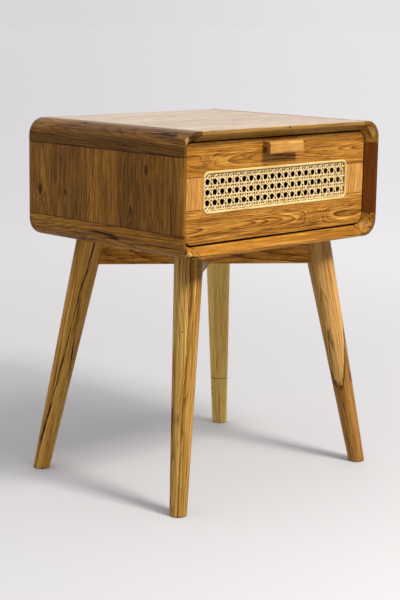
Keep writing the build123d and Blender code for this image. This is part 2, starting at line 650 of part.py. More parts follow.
with BuildPart() as drawer_bottom:
    with BuildSketch(Plane.XY.offset(BOTTOM_LOW)):
        front_edge = FRONT_BACK - BOTTOM_GROOVE
        with Locations((0, (front_edge + DRAWER_REAR) / 2)):
            Rectangle(2 * (SIDE_INSIDE + BOTTOM_GROOVE), DRAWER_REAR - front_edge)
    extrude(amount=BOTTOM_THICKNESS)
keep(drawer_bottom, "drawer_bottom")
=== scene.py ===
import math

import bpy
import numpy as np
from mathutils import Matrix, Vector


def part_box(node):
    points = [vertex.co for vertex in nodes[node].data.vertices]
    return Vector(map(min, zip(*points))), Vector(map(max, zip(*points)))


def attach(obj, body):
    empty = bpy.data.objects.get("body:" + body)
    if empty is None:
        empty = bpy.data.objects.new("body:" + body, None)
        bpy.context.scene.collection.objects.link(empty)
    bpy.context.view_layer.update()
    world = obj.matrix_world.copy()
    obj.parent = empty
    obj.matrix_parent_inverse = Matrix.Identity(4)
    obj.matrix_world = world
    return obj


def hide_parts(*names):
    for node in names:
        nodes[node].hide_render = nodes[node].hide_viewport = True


# Looks of a teak side table with a cane-fronted drawer. Metres, in the CAD frame:
# +Z up, -Y the drawer's front, origin on the floor under the case.

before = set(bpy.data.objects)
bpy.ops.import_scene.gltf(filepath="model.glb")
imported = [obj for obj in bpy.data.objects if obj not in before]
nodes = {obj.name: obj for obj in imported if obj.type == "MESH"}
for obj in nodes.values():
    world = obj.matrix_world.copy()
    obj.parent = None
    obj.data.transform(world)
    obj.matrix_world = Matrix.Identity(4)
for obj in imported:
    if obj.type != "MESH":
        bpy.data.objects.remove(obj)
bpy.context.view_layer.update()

MM = 0.001
X_AXIS = Vector((1, 0, 0))
Y_AXIS = Vector((0, 1, 0))
Z_AXIS = Vector((0, 0, 1))

# ------------------------------------------------------------------ camera

CAMERA_PLACE = Vector((-1.7208, -1.7173, 0.7534))
CAMERA_HEADING = math.radians(44.92)    # clockwise from +Y, seen from above
CAMERA_DIP = math.radians(10.93)        # below the horizon
CAMERA_ROLL = math.radians(0.88)
CAMERA_LENS = 88.9


def set_camera():
    """A camera that looks down on the front left corner of the table."""
    data = bpy.data.cameras.new("view")
    data.lens = CAMERA_LENS
    data.sensor_width = 36
    data.clip_end = 200
    camera = bpy.data.objects.new("view", data)
    bpy.context.scene.collection.objects.link(camera)
    ahead = Vector((
        math.sin(CAMERA_HEADING) * math.cos(CAMERA_DIP),
        math.cos(CAMERA_HEADING) * math.cos(CAMERA_DIP),
        -math.sin(CAMERA_DIP),
    ))
    level = Vector((math.cos(CAMERA_HEADING), -math.sin(CAMERA_HEADING), 0))
    upright = level.cross(ahead)
    right = level * math.cos(CAMERA_ROLL) + upright * math.sin(CAMERA_ROLL)
    top = upright * math.cos(CAMERA_ROLL) - level * math.sin(CAMERA_ROLL)
    turn = Matrix((right, top, -ahead)).transposed().to_4x4()
    camera.matrix_world = Matrix.Translation(CAMERA_PLACE) @ turn
    bpy.context.scene.camera = camera


# ------------------------------------------------------------------- nodes


class Recipe:
    """Adds shader nodes to a tree by short calls. A value may be a socket or a number."""

    def __init__(self, tree):
        self.tree = tree

    def node(self, kind, **settings):
        """A new node of a kind, with its settings."""
        made = self.tree.nodes.new(kind)
        for name, value in settings.items():
            setattr(made, name, value)
        return made

    def feed(self, socket, value):
        """Link a socket into an input, or set the input to a number, colour or vector."""
        if isinstance(value, bpy.types.NodeSocket):
            self.tree.links.new(value, socket)
        elif value is not None:
            socket.default_value = value

    def math(self, operation, first, second=None, third=None, clamp=False):
        """A sum of up to three numbers, clamped to 0..1 if asked."""
        made = self.node("ShaderNodeMath", operation=operation, use_clamp=clamp)
        for socket, value in zip(made.inputs, (first, second, third)):
            self.feed(socket, value)
        return made.outputs[0]

    def vector(self, operation, first, second=None):
        """A sum of one or two vectors. LENGTH gives a number."""
        made = self.node("ShaderNodeVectorMath", operation=operation)
        for socket, value in zip(made.inputs, (first, second)):
            self.feed(socket, value)
        return made.outputs["Value" if operation == "LENGTH" else "Vector"]

    def noise(self, place, stretch, detail=2.0, roughness=0.5):
        """Noise from 0 to 1 on a place stretched by three factors, in cells per metre."""
        made = self.node("ShaderNodeTexNoise")
        self.feed(made.inputs["Vector"], self.vector("MULTIPLY", place, stretch))
        made.inputs["Scale"].default_value = 1
        made.inputs["Detail"].default_value = detail
        made.inputs["Roughness"].default_value = roughness
        return made.outputs[0]

    def swing(self, place, stretch, detail=2.0, roughness=0.5):
        """The same noise, from -0.5 to 0.5."""
        return self.math("SUBTRACT", self.noise(place, stretch, detail, roughness), 0.5)

    def rise(self, value, low, high):
        """0 below low, 1 above high, and a smooth step between them."""
        made = self.node("ShaderNodeMapRange", interpolation_type="SMOOTHSTEP")
        for socket, number in zip(made.inputs, (value, low, high, 0.0, 1.0)):
            self.feed(socket, number)
        return made.outputs[0]

    def blend(self, factor, first, second):
        """The first colour at factor 0, the second at factor 1."""
        made = self.node("ShaderNodeMix", data_type="RGBA")
        self.feed(made.inputs["Factor"], factor)
        self.feed(made.inputs[6], first)
        self.feed(made.inputs[7], second)
        return made.outputs[2]

    def most(self, first, second):
        """The larger of two values, of which the first may be missing."""
        return second if first is None else self.math("MAXIMUM", first, second)

    def ramp(self, value, stops):
        """A colour that runs through (position, colour) stops."""
        made = self.node("ShaderNodeValToRGB")
        self.feed(made.inputs[0], value)
        points = made.color_ramp.elements
        while len(points) < len(stops):
            points.new(0.5)
        for point, (position, colour) in zip(points, stops):
            point.position = position
            point.color = (*colour, 1)
        return made.outputs[0]

    def bump(self, shader, height, strength, distance):
        """A bump of a height, in metres for a height of 1, under a shader's surface."""
        made = self.node("ShaderNodeBump")
        made.inputs["Strength"].default_value = strength
        made.inputs["Distance"].default_value = distance
        self.feed(made.inputs["Height"], height)
        self.feed(shader.inputs["Normal"], made.outputs[0])


def teak_figure():
    """The figure all the teak shares, worked out in a space whose X runs along the grain.

    Rings are the distance from the pith line, which runs along X and wanders slowly,
    divided by the ring width. Each ring has a tone and a dark late line of its own.
    Fibres, pores, streaks and veins are noise drawn out along X. A knot swells the
    rings round one point. Tone is 0 for the darkest wood and 1 for the palest, flaws
    is 1 in cracks, holes and knots, and height is for the bump.
    """
    tree = bpy.data.node_groups.new("teak_figure", "ShaderNodeTree")
    for way, kind, names in (
        ("INPUT", "NodeSocketVector", ("place", "knot")),
        ("INPUT", "NodeSocketFloat", ("knot_size", "knot_dark", "ring_width", "figure",
                                      "cracks", "streaks")),
        ("OUTPUT", "NodeSocketFloat", ("tone", "flaws", "height")),
    ):
        for name in names:
            tree.interface.new_socket(name, in_out=way, socket_type=kind)
    r = Recipe(tree)
    given = r.node("NodeGroupInput").outputs
    place = given["place"]

    from_knot = r.vector("MULTIPLY", r.vector("SUBTRACT", place, given["knot"]), (0.5, 1, 1))
    nearness = r.math("DIVIDE", r.vector("LENGTH", from_knot), given["knot_size"])
    swelling = r.math("DIVIDE", 1.0, r.math("MULTIPLY_ADD", nearness, nearness, 1.0))
    swollen = r.math("MULTIPLY", given["knot_size"], 1.3)

    # Rings: where in its ring a place lies, and what that ring is like
    radius = r.vector("LENGTH", r.vector("MULTIPLY", place, (0, 1, 1)))
    radius = r.math("MULTIPLY_ADD", r.swing(place, (2.5, 12, 12), 2), 24 * MM, radius)
    radius = r.math("MULTIPLY_ADD", r.swing(place, (9, 90, 90), 3), 2.8 * MM, radius)
    radius = r.math("MULTIPLY_ADD", swelling, swollen, radius)
    turns = r.math("DIVIDE", radius, given["ring_width"])
    part = r.math("FRACT", turns)
    own = r.node("ShaderNodeTexWhiteNoise", noise_dimensions="1D")
    r.feed(own.inputs["W"], r.math("FLOOR", turns))
    ring = r.node("ShaderNodeSeparateColor")
    r.feed(ring.inputs[0], own.outputs["Color"])
    late = r.math("MULTIPLY", r.math("POWER", part, 3.0), r.rise(part, 1.0, 0.92))
    late = r.math("MULTIPLY", late, r.math("MULTIPLY_ADD", ring.outputs[0], 0.9, 0.25))
    late = r.math("MULTIPLY", late, given["figure"])
    ring_tone = r.math("MULTIPLY", r.math("SUBTRACT", ring.outputs[1], 0.5), given["figure"])

    # Lines along the grain, from the finest to the broadest
    pore = r.rise(r.noise(place, (60, 900, 900), 1), 0.60, 0.72)
    thread = r.rise(r.noise(place, (5, 480, 480), 2, 0.6), 0.56, 0.70)
    elsewhere = r.vector("ADD", place, (0, 3, 5))
    glint = r.rise(r.noise(elsewhere, (5, 420, 420), 2, 0.6), 0.60, 0.72)
    fibre = r.swing(place, (4.5, 330, 330), 4, 0.72)
    streak = r.rise(r.noise(place, (1.6, 130, 130), 2, 0.6), 0.56, 0.74)
    streak = r.math("MULTIPLY", streak, given["streaks"])
    band = r.swing(place, (3.2, 120, 120), 3, 0.6)
    vein = r.rise(r.math("ABSOLUTE", r.swing(place, (1.6, 62, 62), 2)), 0.030, 0.0)
    vein = r.math("MULTIPLY", vein, r.rise(r.noise(place, (5, 30, 30), 1), 0.5, 0.62))
    vein = r.math("MULTIPLY", vein, given["streaks"])
    cloud = r.swing(place, (4, 20, 20), 2)

    tone = r.math("MULTIPLY_ADD", fibre, 1.10, 0.66)
    for layer, weight in ((band, 0.55), (cloud, 0.40), (ring_tone, 0.17), (late, -0.48),
                          (streak, -0.20), (thread, -0.40), (glint, 0.32), (vein, -0.30)):
        tone = r.math("MULTIPLY_ADD", layer, weight, tone)
    tone = r.math("MULTIPLY_ADD", pore, -0.20, tone, clamp=True)

    # Flaws: short dark cracks, a few round holes, and the knot's core
    crack = r.rise(r.math("ABSOLUTE", r.swing(place, (3.2, 70, 70), 1)), 0.022, 0.008)
    crack = r.math("MULTIPLY", crack, r.rise(r.noise(place, (7, 26, 26), 1), 0.58, 0.64))
    crack = r.math("MULTIPLY", crack, given["cracks"])
    cells = r.node("ShaderNodeTexVoronoi")
    r.feed(cells.inputs["Vector"], r.vector("MULTIPLY", place, (0.6, 1, 1)))
    cells.inputs["Scale"].default_value = 42
    rare = r.math("GREATER_THAN", r.vector("LENGTH", cells.outputs["Color"]), 1.24)
    hole = r.math("MULTIPLY", r.rise(cells.outputs["Distance"], 0.055, 0.03), rare)
    hole = r.math("MULTIPLY", hole, given["cracks"])
    open_flaws = r.most(crack, hole)
    core = r.math("MULTIPLY", r.rise(nearness, 0.95, 0.35), given["knot_dark"])
    flaws = r.most(open_flaws, core)

    height = r.math("MULTIPLY_ADD", late, -0.35, r.math("MULTIPLY", fibre, 0.6))
    height = r.math("MULTIPLY_ADD", pore, -0.5, height)
    height = r.math("MULTIPLY_ADD", open_flaws, -3.0, height)

    out = r.node("NodeGroupOutput")
    for name, value in (("tone", tone), ("flaws", flaws), ("height", height)):
        r.feed(out.inputs[name], value)
    return tree


TEAK_FIGURE = teak_figure()

# The woods, each from its darkest streak to its palest tone as (tone, linear colour):
# HONEY for the drawer's rails, the crossed rails and the bottom, BROWN for the sides,
# corners and back, the rust-red wood for the right front board, partly that board's own
# redder tone and partly painted shade of its bevel inside the opening, OLIVE for the worn
# top and the left legs, STRAW for the stiles, the pull and a leg, PALE for a leg, BARE for
# unoiled wood
HONEY = ((0.0, (0.030, 0.0080, 0.0006)), (0.30, (0.115, 0.0400, 0.0034)),
         (0.60, (0.262, 0.108, 0.0130)), (1.0, (0.490, 0.262, 0.056)))
BROWN = ((0.0, (0.024, 0.0070, 0.0004)), (0.30, (0.085, 0.0310, 0.0022)),
         (0.60, (0.180, 0.0740, 0.0068)), (1.0, (0.345, 0.176, 0.030)))
STRAW = ((0.0, (0.035, 0.0115, 0.0012)), (0.30, (0.125, 0.0500, 0.0070)),
         (0.60, (0.262, 0.1200, 0.0240)), (1.0, (0.470, 0.270, 0.085)))
SHADED_RUST = ((0.0, (0.018, 0.0040, 0.0002)), (0.30, (0.052, 0.0130, 0.0007)),
        (0.60, (0.078, 0.0190, 0.0008)), (1.0, (0.130, 0.040, 0.003)))
OLIVE = ((0.0, (0.028, 0.0095, 0.0010)), (0.30, (0.115, 0.050, 0.0060)),
         (0.60, (0.262, 0.134, 0.024)), (1.0, (0.450, 0.285, 0.085)))
PALE = ((0.0, (0.060, 0.028, 0.005)), (0.30, (0.200, 0.108, 0.020)),
        (0.60, (0.385, 0.245, 0.060)), (1.0, (0.540, 0.405, 0.150)))
BARE = ((0.0, (0.060, 0.030, 0.009)), (0.32, (0.130, 0.074, 0.026)),
        (0.62, (0.200, 0.122, 0.050)), (1.0, (0.280, 0.190, 0.090)))
FLAW_COLOUR = (0.016, 0.0060, 0.0015, 1)
SAPWOOD = (0.42, 0.25, 0.07, 1)

SAPWOOD_COVER = 0.85

MIDDLE_TONE = 0.6           # contrast below 1 draws the tones towards this one
SEED_STEP = 3.7             # metres along the grain from one board's figure to the next
NO_KNOT = Vector((-9, 0, 0))            # far from every board
OTHER_STAVE = Vector((1.37, 0.013, 0))  # where a second stave takes its figure from
JOINT_LINE = (1.1 * MM, 0.3 * MM)       # off a joint: where its dark line ends, where it is full
SPLIT_LINE = (2.0 * MM, 0.8 * MM)       # the same for the line between two staves


def new_material(name):
    """A new material, its recipe, its shader, and the place of a point on the object."""
    material = bpy.data.materials.new(name)
    material.use_nodes = True
    r = Recipe(material.node_tree)
    shader = material.node_tree.nodes["Principled BSDF"]
    place = r.node("ShaderNodeTexCoord").outputs["Object"]
    return material, r, shader, place


def beyond_plane(r, place, normal, point):
    """Distance of a place beyond a plane, in metres."""
    normal = Vector(normal).normalized()
    product = r.node("ShaderNodeVectorMath", operation="DOT_PRODUCT")
    r.feed(product.inputs[0], place)
    product.inputs[1].default_value = normal
    return r.math("SUBTRACT", product.outputs["Value"], Vector(point).dot(normal))


def joint_dirt_and_shade(r, place, joints):
    """Patchy dark lines along joint planes, each an (axis, place along it, strength): dirt in
    the joints, and painted shadow along the corner blocks' front faces.
    """
    parts = r.node("ShaderNodeSeparateXYZ")
    r.feed(parts.inputs[0], place)
    patchy = r.rise(r.noise(place, (60, 60, 60), 2), 0.25, 0.6)
    total = None
    for axis, at, strength in joints:
        off = r.math("ABSOLUTE", r.math("SUBTRACT", parts.outputs[axis], at))
        line = r.math("MULTIPLY", r.rise(off, *JOINT_LINE), strength)
        total = r.most(total, line)
    return r.math("MULTIPLY", total, r.math("MULTIPLY_ADD", patchy, 0.6, 0.4))


def marks(r, place, spots):
    """1 inside small ellipsoids, each a (place, half sizes) in mm, with a ragged edge."""
    rough = r.math("MULTIPLY", r.swing(place, (300, 300, 300), 2), 0.9)
    total = None
    for at, size in spots:
        offset = r.vector("SUBTRACT", place, tuple(part * MM for part in at))
        scaled = r.vector("MULTIPLY", offset, tuple(1 / (part * MM) for part in size))
        spot = r.rise(r.math("ADD", r.vector("LENGTH", scaled), rough), 1.15, 0.7)
        total = r.most(total, spot)
    return total


def teak(name, middle, grain, show, tones, seed, light=1.0, contrast=1.0,
         tilt=0.05, pith=0.030, sway=0.0, rings=4.5, figure=1.0, cracks=0.5, streaks=0.5,
         knot=None, knot_size=9, knot_dark=0.8, roughness=0.42, shine=0.09,
         split=None, joints=(), spots=(), sapwood=()):
    """Oiled teak for one board.

    The figure's X axis is the board's grain, tipped by tilt towards its show face, so
    that rings come out as long arches. The pith line lies a distance pith below middle
    and sway to one side, in metres. rings is a ring's width and knot_size a knot's, in
    mm. light scales the colours. figure, cracks, streaks and knot_dark say how strong
    each of these shows. split is a plane (normal, point, jump, line): beyond it the wood
    is another stave, paler by jump, with a dark line of strength line between the two.
    spots are dark marks and sapwood pale ones. joints are planes with dark lines in them:
    dirt, and on the corner blocks' front faces painted shadow.
    """
    material, r, shader, place = new_material(name)
    grain = Vector(grain).normalized()
    show = Vector(show).normalized()
    along = (grain + show * tilt).normalized()
    turn = along.rotation_difference(X_AXIS)
    side = grain.cross(show)
    heart = Vector(middle) - show * pith + side * sway
    shift = turn.to_matrix() @ -heart
    slide = Vector((SEED_STEP * seed, 0, 0))
    mapping = r.node("ShaderNodeMapping")
    r.feed(mapping.inputs["Vector"], place)
    mapping.inputs["Rotation"].default_value = turn.to_euler("XYZ")
    mapping.inputs["Location"].default_value = shift + slide
    board_place = mapping.outputs[0]
    if split:
        normal, point, jump, line = split
        beyond = beyond_plane(r, place, normal, point)
        waver = r.swing(board_place, (14, 30, 30), 4, 0.6)
        beyond = r.math("MULTIPLY_ADD", waver, 9 * MM, beyond)
        stave = r.math("GREATER_THAN", beyond, 0.0)
        board_place = r.vector("ADD", board_place, r.vector("MULTIPLY", OTHER_STAVE, stave))
    group = r.node("ShaderNodeGroup", node_tree=TEAK_FIGURE)
    r.feed(group.inputs["place"], board_place)
    knot_place = NO_KNOT if knot is None else turn.to_matrix() @ (Vector(knot) - heart)
    for socket, value in (("knot", knot_place + slide), ("knot_size", knot_size * MM),
                          ("knot_dark", knot_dark), ("ring_width", rings * MM),
                          ("figure", figure), ("cracks", cracks), ("streaks", streaks)):
        group.inputs[socket].default_value = value
    tone = group.outputs["tone"]
    flaws = group.outputs["flaws"]
    if contrast != 1.0:
        tone = r.math("MULTIPLY_ADD", tone, contrast, MIDDLE_TONE * (1 - contrast), clamp=True)
    if split:
        tone = r.math("MULTIPLY_ADD", stave, jump, tone, clamp=True)
        gap = r.rise(r.math("ABSOLUTE", beyond), *SPLIT_LINE)
        broken = r.rise(r.noise(board_place, (14, 60, 60), 2), 0.36, 0.5)
        gap = r.math("MULTIPLY", r.math("MULTIPLY", gap, broken), line)
        flaws = r.most(flaws, gap)
    if spots:
        flaws = r.most(flaws, marks(r, place, spots))
    if joints:
        flaws = r.most(flaws, joint_dirt_and_shade(r, place, joints))
    stops = [(at, tuple(min(1.0, part * light) for part in colour)) for at, colour in tones]
    colour = r.ramp(tone, stops)
    if sapwood:
        pale = r.math("MULTIPLY", marks(r, place, sapwood), SAPWOOD_COVER)
        colour = r.blend(pale, colour, SAPWOOD)
    colour = r.blend(flaws, colour, FLAW_COLOUR)
    r.feed(shader.inputs["Base Color"], colour)
    gloss = r.math("MULTIPLY_ADD", tone, -0.12, roughness + 0.06)
    r.feed(shader.inputs["Roughness"], r.math("MULTIPLY_ADD", flaws, 0.3, gloss))
    shader.inputs["Specular IOR Level"].default_value = shine
    r.bump(shader, group.outputs["height"], 0.35, 0.5 * MM)
    return material


def dress(name, material):
    """Give a piece of the CAD model its material."""
    node = nodes[name]
    node.data.materials.clear()
    node.data.materials.append(material)


def middle_of(name):
    """The middle of a piece's box."""
    low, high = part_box(name)
    return (low + high) / 2


def face_middle(name, show):
    """The middle of the side of a piece's box that looks along show."""
    low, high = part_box(name)
    half = (high - low) / 2
    return (low + high) / 2 + Vector([s * h for s, h in zip(show, half)])


def dress_board(name, grain, show, tones, seed, **look):
    """Teak for one flat board, with its figure centred under its show face."""
    dress(name, teak(name, face_middle(name, show), grain, show, tones, seed, **look))


def ends(name, axis, strength):
    """The joint planes at both ends of a piece's box along one axis."""
    low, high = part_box(name)
    return [(axis, low[axis], strength), (axis, high[axis], strength)]


# ---------------------------------------------------------------- case wood

SIDES = (("left", -1), ("right", 1))    # name, and its direction along X

# How strong the dirt is in each kind of joint, and how strong the painted shadow is along the
# corner blocks' front faces, where the bevel shades the gap by the drawer
CORNER_TO_SIDE = 0.85
CORNER_TO_TOP = 0.7
TOP_TO_CORNER = 0.6
FRONT_EDGE_SHADE = 0.45
SIDE_TO_SIDE = 0.35
TOP_TO_TOP = 0.25
RAIL_TO_STILE = 0.8

# Each side's boards from the front to the back
SIDE_LOOKS = (
    dict(light=1.06, rings=2.4, sway=0.012, figure=0.9, tilt=0.03, contrast=0.8),
    dict(light=0.92, rings=2.0, sway=-0.004, tilt=0.09, pith=0.018, contrast=0.75),
    dict(light=0.82, rings=2.2, sway=0.006, tilt=-0.07, pith=0.020, figure=1.3, contrast=0.75),
    dict(light=1.22, rings=1.8, sway=0.030, figure=0.7, streaks=0.2, contrast=0.85),
    dict(light=1.26, rings=2.1, sway=-0.020, figure=0.9, streaks=0.7, contrast=0.85),
    dict(light=1.02, rings=1.9, sway=0.016, figure=0.8, contrast=0.75),
    dict(light=0.86, rings=2.1, sway=-0.016, streaks=0.9, contrast=0.75),
    dict(light=1.08, rings=2.5, sway=0.004, tilt=-0.08, pith=0.022, contrast=0.8),
)
# Knots by board: metres behind the board's middle and above it, and the size in mm
SIDE_KNOTS = {2: (0.012, 0.034, 6), 7: (-0.006, -0.017, 4), 8: (0.001, -0.017, 7)}

# Worn arrises and pale patches of the corner blocks, and a chip in the front top board,
# each a (place, half sizes) in mm
CORNER_SPOTS = {
    ("top", "left"): (((-204, -181, 577), (14, 3, 2.5)), ((-216, -181, 566), (3, 3, 6))),
    ("bottom", "left"): (((-206, -181, 400), (13, 3, 1.6)), ((-219, -181, 408), (1.6, 3, 7)),
                         ((-200, -178, 409), (2, 5, 6))),
    ("bottom", "right"): (((212, -178, 408), (4, 4, 1.4)),),
}
CORNER_SAPWOOD = {
    ("top", "left"): (((-219, -180, 573), (3, 4, 7)),),
    ("bottom", "left"): (((-210, -178, 405), (9, 6, 4)),),
    ("top", "right"): (((211, -176, 569), (12, 4, 12)),),
}
TOP_FRONT_SPOTS = (((3.6, -180, 583), (2.2, 3, 2.2)),)
# The top left block is drawn darker and the bottom left one lighter than the rest: partly
# their own tone, partly painted shade on the downward-facing bevel and painted light on the
# upward-facing one.
CORNER_LIGHTS = {("top", "left"): 0.62, ("bottom", "left"): 1.32}
PLAIN_CORNER_LIGHT = 1.08


def dress_corner_blocks():
    """The four solid corner pieces, with their grain from front to back."""
    side_low, side_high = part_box("left_board_1")
    top_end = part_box("top_board_1")[1].x
    for level, up in (("top", 1), ("bottom", -1)):
        side_joint = side_high.z if up > 0 else side_low.z
        for side, out in SIDES:
            name = f"corner_block_{level}_{side}"
            # the line on the front face is painted shadow of the bevel at the gap, not dirt
            joints = [(2, side_joint, CORNER_TO_SIDE), (0, out * top_end, CORNER_TO_TOP),
                      (1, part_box(name)[0].y, FRONT_EDGE_SHADE)]
            dress(name, teak(
                name, middle_of(name), Y_AXIS, (out, 0, up), BROWN, 11 + 2 * up + out,
                light=CORNER_LIGHTS.get((level, side), PLAIN_CORNER_LIGHT), pith=0.045,
                rings=1.7, figure=0.9, streaks=0.8, cracks=0.9, tilt=0.03, joints=joints,
                spots=CORNER_SPOTS.get((level, side), ()),
                sapwood=CORNER_SAPWOOD.get((level, side), ()),
            ))


def dress_side_boards():
    """The upright boards of both sides. The right side repeats the left one's looks."""
    for side, out in SIDES:
        show = (out, 0, 0)
        for number, look in enumerate(SIDE_LOOKS, start=1):
            name = f"{side}_board_{number}"
            knot = {}
            if number in SIDE_KNOTS:
                behind, above, size = SIDE_KNOTS[number]
                place = face_middle(name, show) + Vector((0, behind, above))
                knot = dict(knot=place, knot_size=size)
            # the right front board's dark red wood is partly painted shade of its bevel inside
            # the opening
            tones = SHADED_RUST if side == "right" and number == 1 else BROWN
            joints = ends(name, 2, CORNER_TO_SIDE) + ends(name, 1, SIDE_TO_SIDE)
            dress_board(name, Z_AXIS, show, tones, number + 5 * (out + 1), joints=joints,
                        **look, **knot)


def dress_level_boards():
    """The top and bottom boards, with their grain from side to side."""
    for level, up, seed, tones, shine, lights in (
        ("top", 1, 21, OLIVE, 0.24, (0.77, 0.70, 0.79, 0.73)),
        ("bottom", -1, 31, HONEY, 0.09, (1.04, 0.90, 1.00, 0.95)),
    ):
        for number, light in enumerate(lights, start=1):
            name = f"{level}_board_{number}"
            between = ends(name, 1, TOP_TO_TOP)
            spots = ()
            if name == "top_board_1":
                between = between[1:]       # its front edge is open
                spots = TOP_FRONT_SPOTS
            dress_board(name, X_AXIS, (0, 0, up), tones, seed + number, light=light,
                        rings=2.4, tilt=0.04, sway=0.01 * (number - 2), cracks=0.2,
                        roughness=0.27, shine=shine, contrast=0.8, spots=spots,
                        joints=ends(name, 0, TOP_TO_CORNER) + between)


def dress_hidden_wood():
    """The back panel, and the bare runners and stops inside the case."""
    dress_board("back_panel", X_AXIS, (0, 1, 0), BROWN, 41,
                rings=4, pith=0.2, tilt=0.0, cracks=0)
    for number, name in enumerate(("left_runner", "right_runner", "drawer_stops")):
        dress(name, teak(name, middle_of(name), Y_AXIS, Z_AXIS, BARE, 51 + number,
                         cracks=0, roughness=0.55, figure=0.5))


# --------------------------------------------------------------- drawer wood


def dress_drawer():
    """The drawer's front members, its pull and its plain box, whose wood is painted darker as
    shade seen through the cane's holes.
    """
    front = (0, -1, 0)
    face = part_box("front_bottom_rail")[0].y
    window_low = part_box("front_bottom_rail")[1].z
    window_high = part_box("front_top_rail")[0].z
    dress_board("front_top_rail", X_AXIS, front, HONEY, 61, light=1.06, contrast=0.85,
                rings=2.0, figure=1.2, tilt=0.03, pith=0.012, streaks=0.9, cracks=0.8,
                knot=(-0.160, face, 0.541), knot_size=5, knot_dark=0.3,
                joints=[(2, window_high, RAIL_TO_STILE)])
    dress_board("front_bottom_rail", X_AXIS, front, HONEY, 62, light=1.12, contrast=0.85,
                rings=2.1, figure=1.6, tilt=-0.035, pith=0.012, sway=0.004, streaks=0.7,
                knot=(0.088, face, 0.436), knot_dark=0.10,
                joints=[(2, window_low, RAIL_TO_STILE)])
    for name, seed, light, sway in (("front_left_stile", 63, 1.34, 0.03),
                                    ("front_right_stile", 64, 1.25, -0.03)):
        dress_board(name, Z_AXIS, front, STRAW, seed, light=light, rings=2.6, figure=0.8,
                    contrast=0.6, streaks=0.3, sway=sway, cracks=0.2,
                    joints=ends(name, 2, RAIL_TO_STILE))
    dress_board("pull_handle", X_AXIS, front, STRAW, 65, light=1.16, rings=2.4, figure=0.4,
                streaks=0.1, cracks=0.2, roughness=0.36, contrast=0.6)
    # the box is drawn at light 0.8, darker than the case's bare wood: painted shade, so the
    # cane's holes show dark
    for number, (name, grain) in enumerate((
        ("drawer_left_side", Y_AXIS), ("drawer_right_side", Y_AXIS),
        ("drawer_back", X_AXIS), ("drawer_bottom", X_AXIS),
    )):
        dress(name, teak(name, middle_of(name), grain, (0.2, 0.2, 1), BARE, 71 + number,
                         light=0.8, pith=0.08, figure=0.6, cracks=0.1, roughness=0.5))


# ------------------------------------------------------------ legs and rails

TO_VIEWER = Vector((-0.7, -0.7, 0.2))


def straight_split(first, second, jump, line):
    """A split along the plane through two places, in mm, seen edge on by the viewer."""
    first = Vector(first) * MM
    second = Vector(second) * MM
    return ((second - first).cross(TO_VIEWER), first, jump, line)


LEG_LOOKS = {
    "front_left": dict(
        tones=OLIVE, light=1.14, contrast=0.85, streaks=0.6, cracks=0.9,
        knot=(-0.201, -0.155, 0.113), knot_size=5,      # under the surface
        split=straight_split((-150, -122, 360), (-208, -160, 20), 0.10, 0.5),
    ),
    "front_right": dict(
        tones=STRAW, light=1.02, contrast=0.8, streaks=0.4, cracks=0.6,
        split=((-0.9514, -0.3342, 0.078), (0.175, -0.1537, 0.139), 0.26, 0.75),
    ),
    "back_left": dict(
        tones=OLIVE, light=1.62, contrast=0.8, streaks=0.6, cracks=1.0,
        split=straight_split((-144, 111, 375), (-209, 163, 65), -0.06, 1.0),
        spots=(((-206, 159, 59), (9, 9, 2.5)),),
    ),
    "back_right": dict(
        tones=PALE, light=1.45, contrast=0.6, streaks=0.3, cracks=0.3,
        split=straight_split((150, 116, 375), (206, 160, 10), 0.08, 0.0),
        spots=(((192, 161, 91), (30, 30, 0.8)), ((184, 166, 71), (10, 10, 0.8)),
               ((190, 165, 57), (2.5, 2.5, 1.5))),
    ),
}


def leg_line(name):
    """The middle of a leg's foot and of its top, from the leg's own vertices."""
    data = nodes[name].data
    points = np.empty(3 * len(data.vertices))
    data.vertices.foreach_get("co", points)
    points = points.reshape(-1, 3)
    middles = []
    for height in (points[:, 2].min(), points[:, 2].max()):
        ring = points[abs(points[:, 2] - height) < 0.1 * MM]
        middles.append(Vector((ring.min(axis=0) + ring.max(axis=0)) / 2))
    return middles


def dress_legs():
    """Each leg has its grain along its own axis, and each rail along its own diagonal."""
    for number, (corner, look) in enumerate(LEG_LOOKS.items()):
        name = f"leg_{corner}"
        foot, top = leg_line(name)
        outwards = Vector((foot.x, foot.y, 0))
        dress(name, teak(name, (foot + top) / 2, top - foot, outwards, seed=81 + number,
                         tilt=0.02, pith=0.016, rings=1.9, roughness=0.46, **look))
    for number, (name, turn) in enumerate((("cross_rail_a", 1), ("cross_rail_b", -1))):
        low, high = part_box(name)
        along = Vector((high.x - low.x, turn * (high.y - low.y), 0))
        dress(name, teak(name, (low + high) / 2, along, along.cross(Z_AXIS), HONEY,
                         91 + number, light=1.5))


# -------------------------------------------------------------- small things


def dowel_wood():
    """Plain pale wood for all the dowels."""
    material, r, shader, place = new_material("dowel_beech")
    colour = r.ramp(r.noise(place, (400, 400, 400), 2), ((0.3, (0.50, 0.33, 0.16)),
                                                         (0.7, (0.66, 0.47, 0.27))))
    r.feed(shader.inputs["Base Color"], colour)
    shader.inputs["Roughness"].default_value = 0.6
    return material


def zinc_steel():
    """Dull zinc-plated steel for the screws and pins."""
    material, r, shader, place = new_material("zinc_steel")
    wear = r.noise(place, (900, 900, 900), 3)
    r.feed(shader.inputs["Base Color"], r.ramp(wear, ((0.3, (0.42, 0.41, 0.38)),
                                                      (0.7, (0.66, 0.65, 0.61)))))
    shader.inputs["Metallic"].default_value = 1.0
    r.feed(shader.inputs["Roughness"], r.math("MULTIPLY_ADD", wear, 0.25, 0.25))
    return material


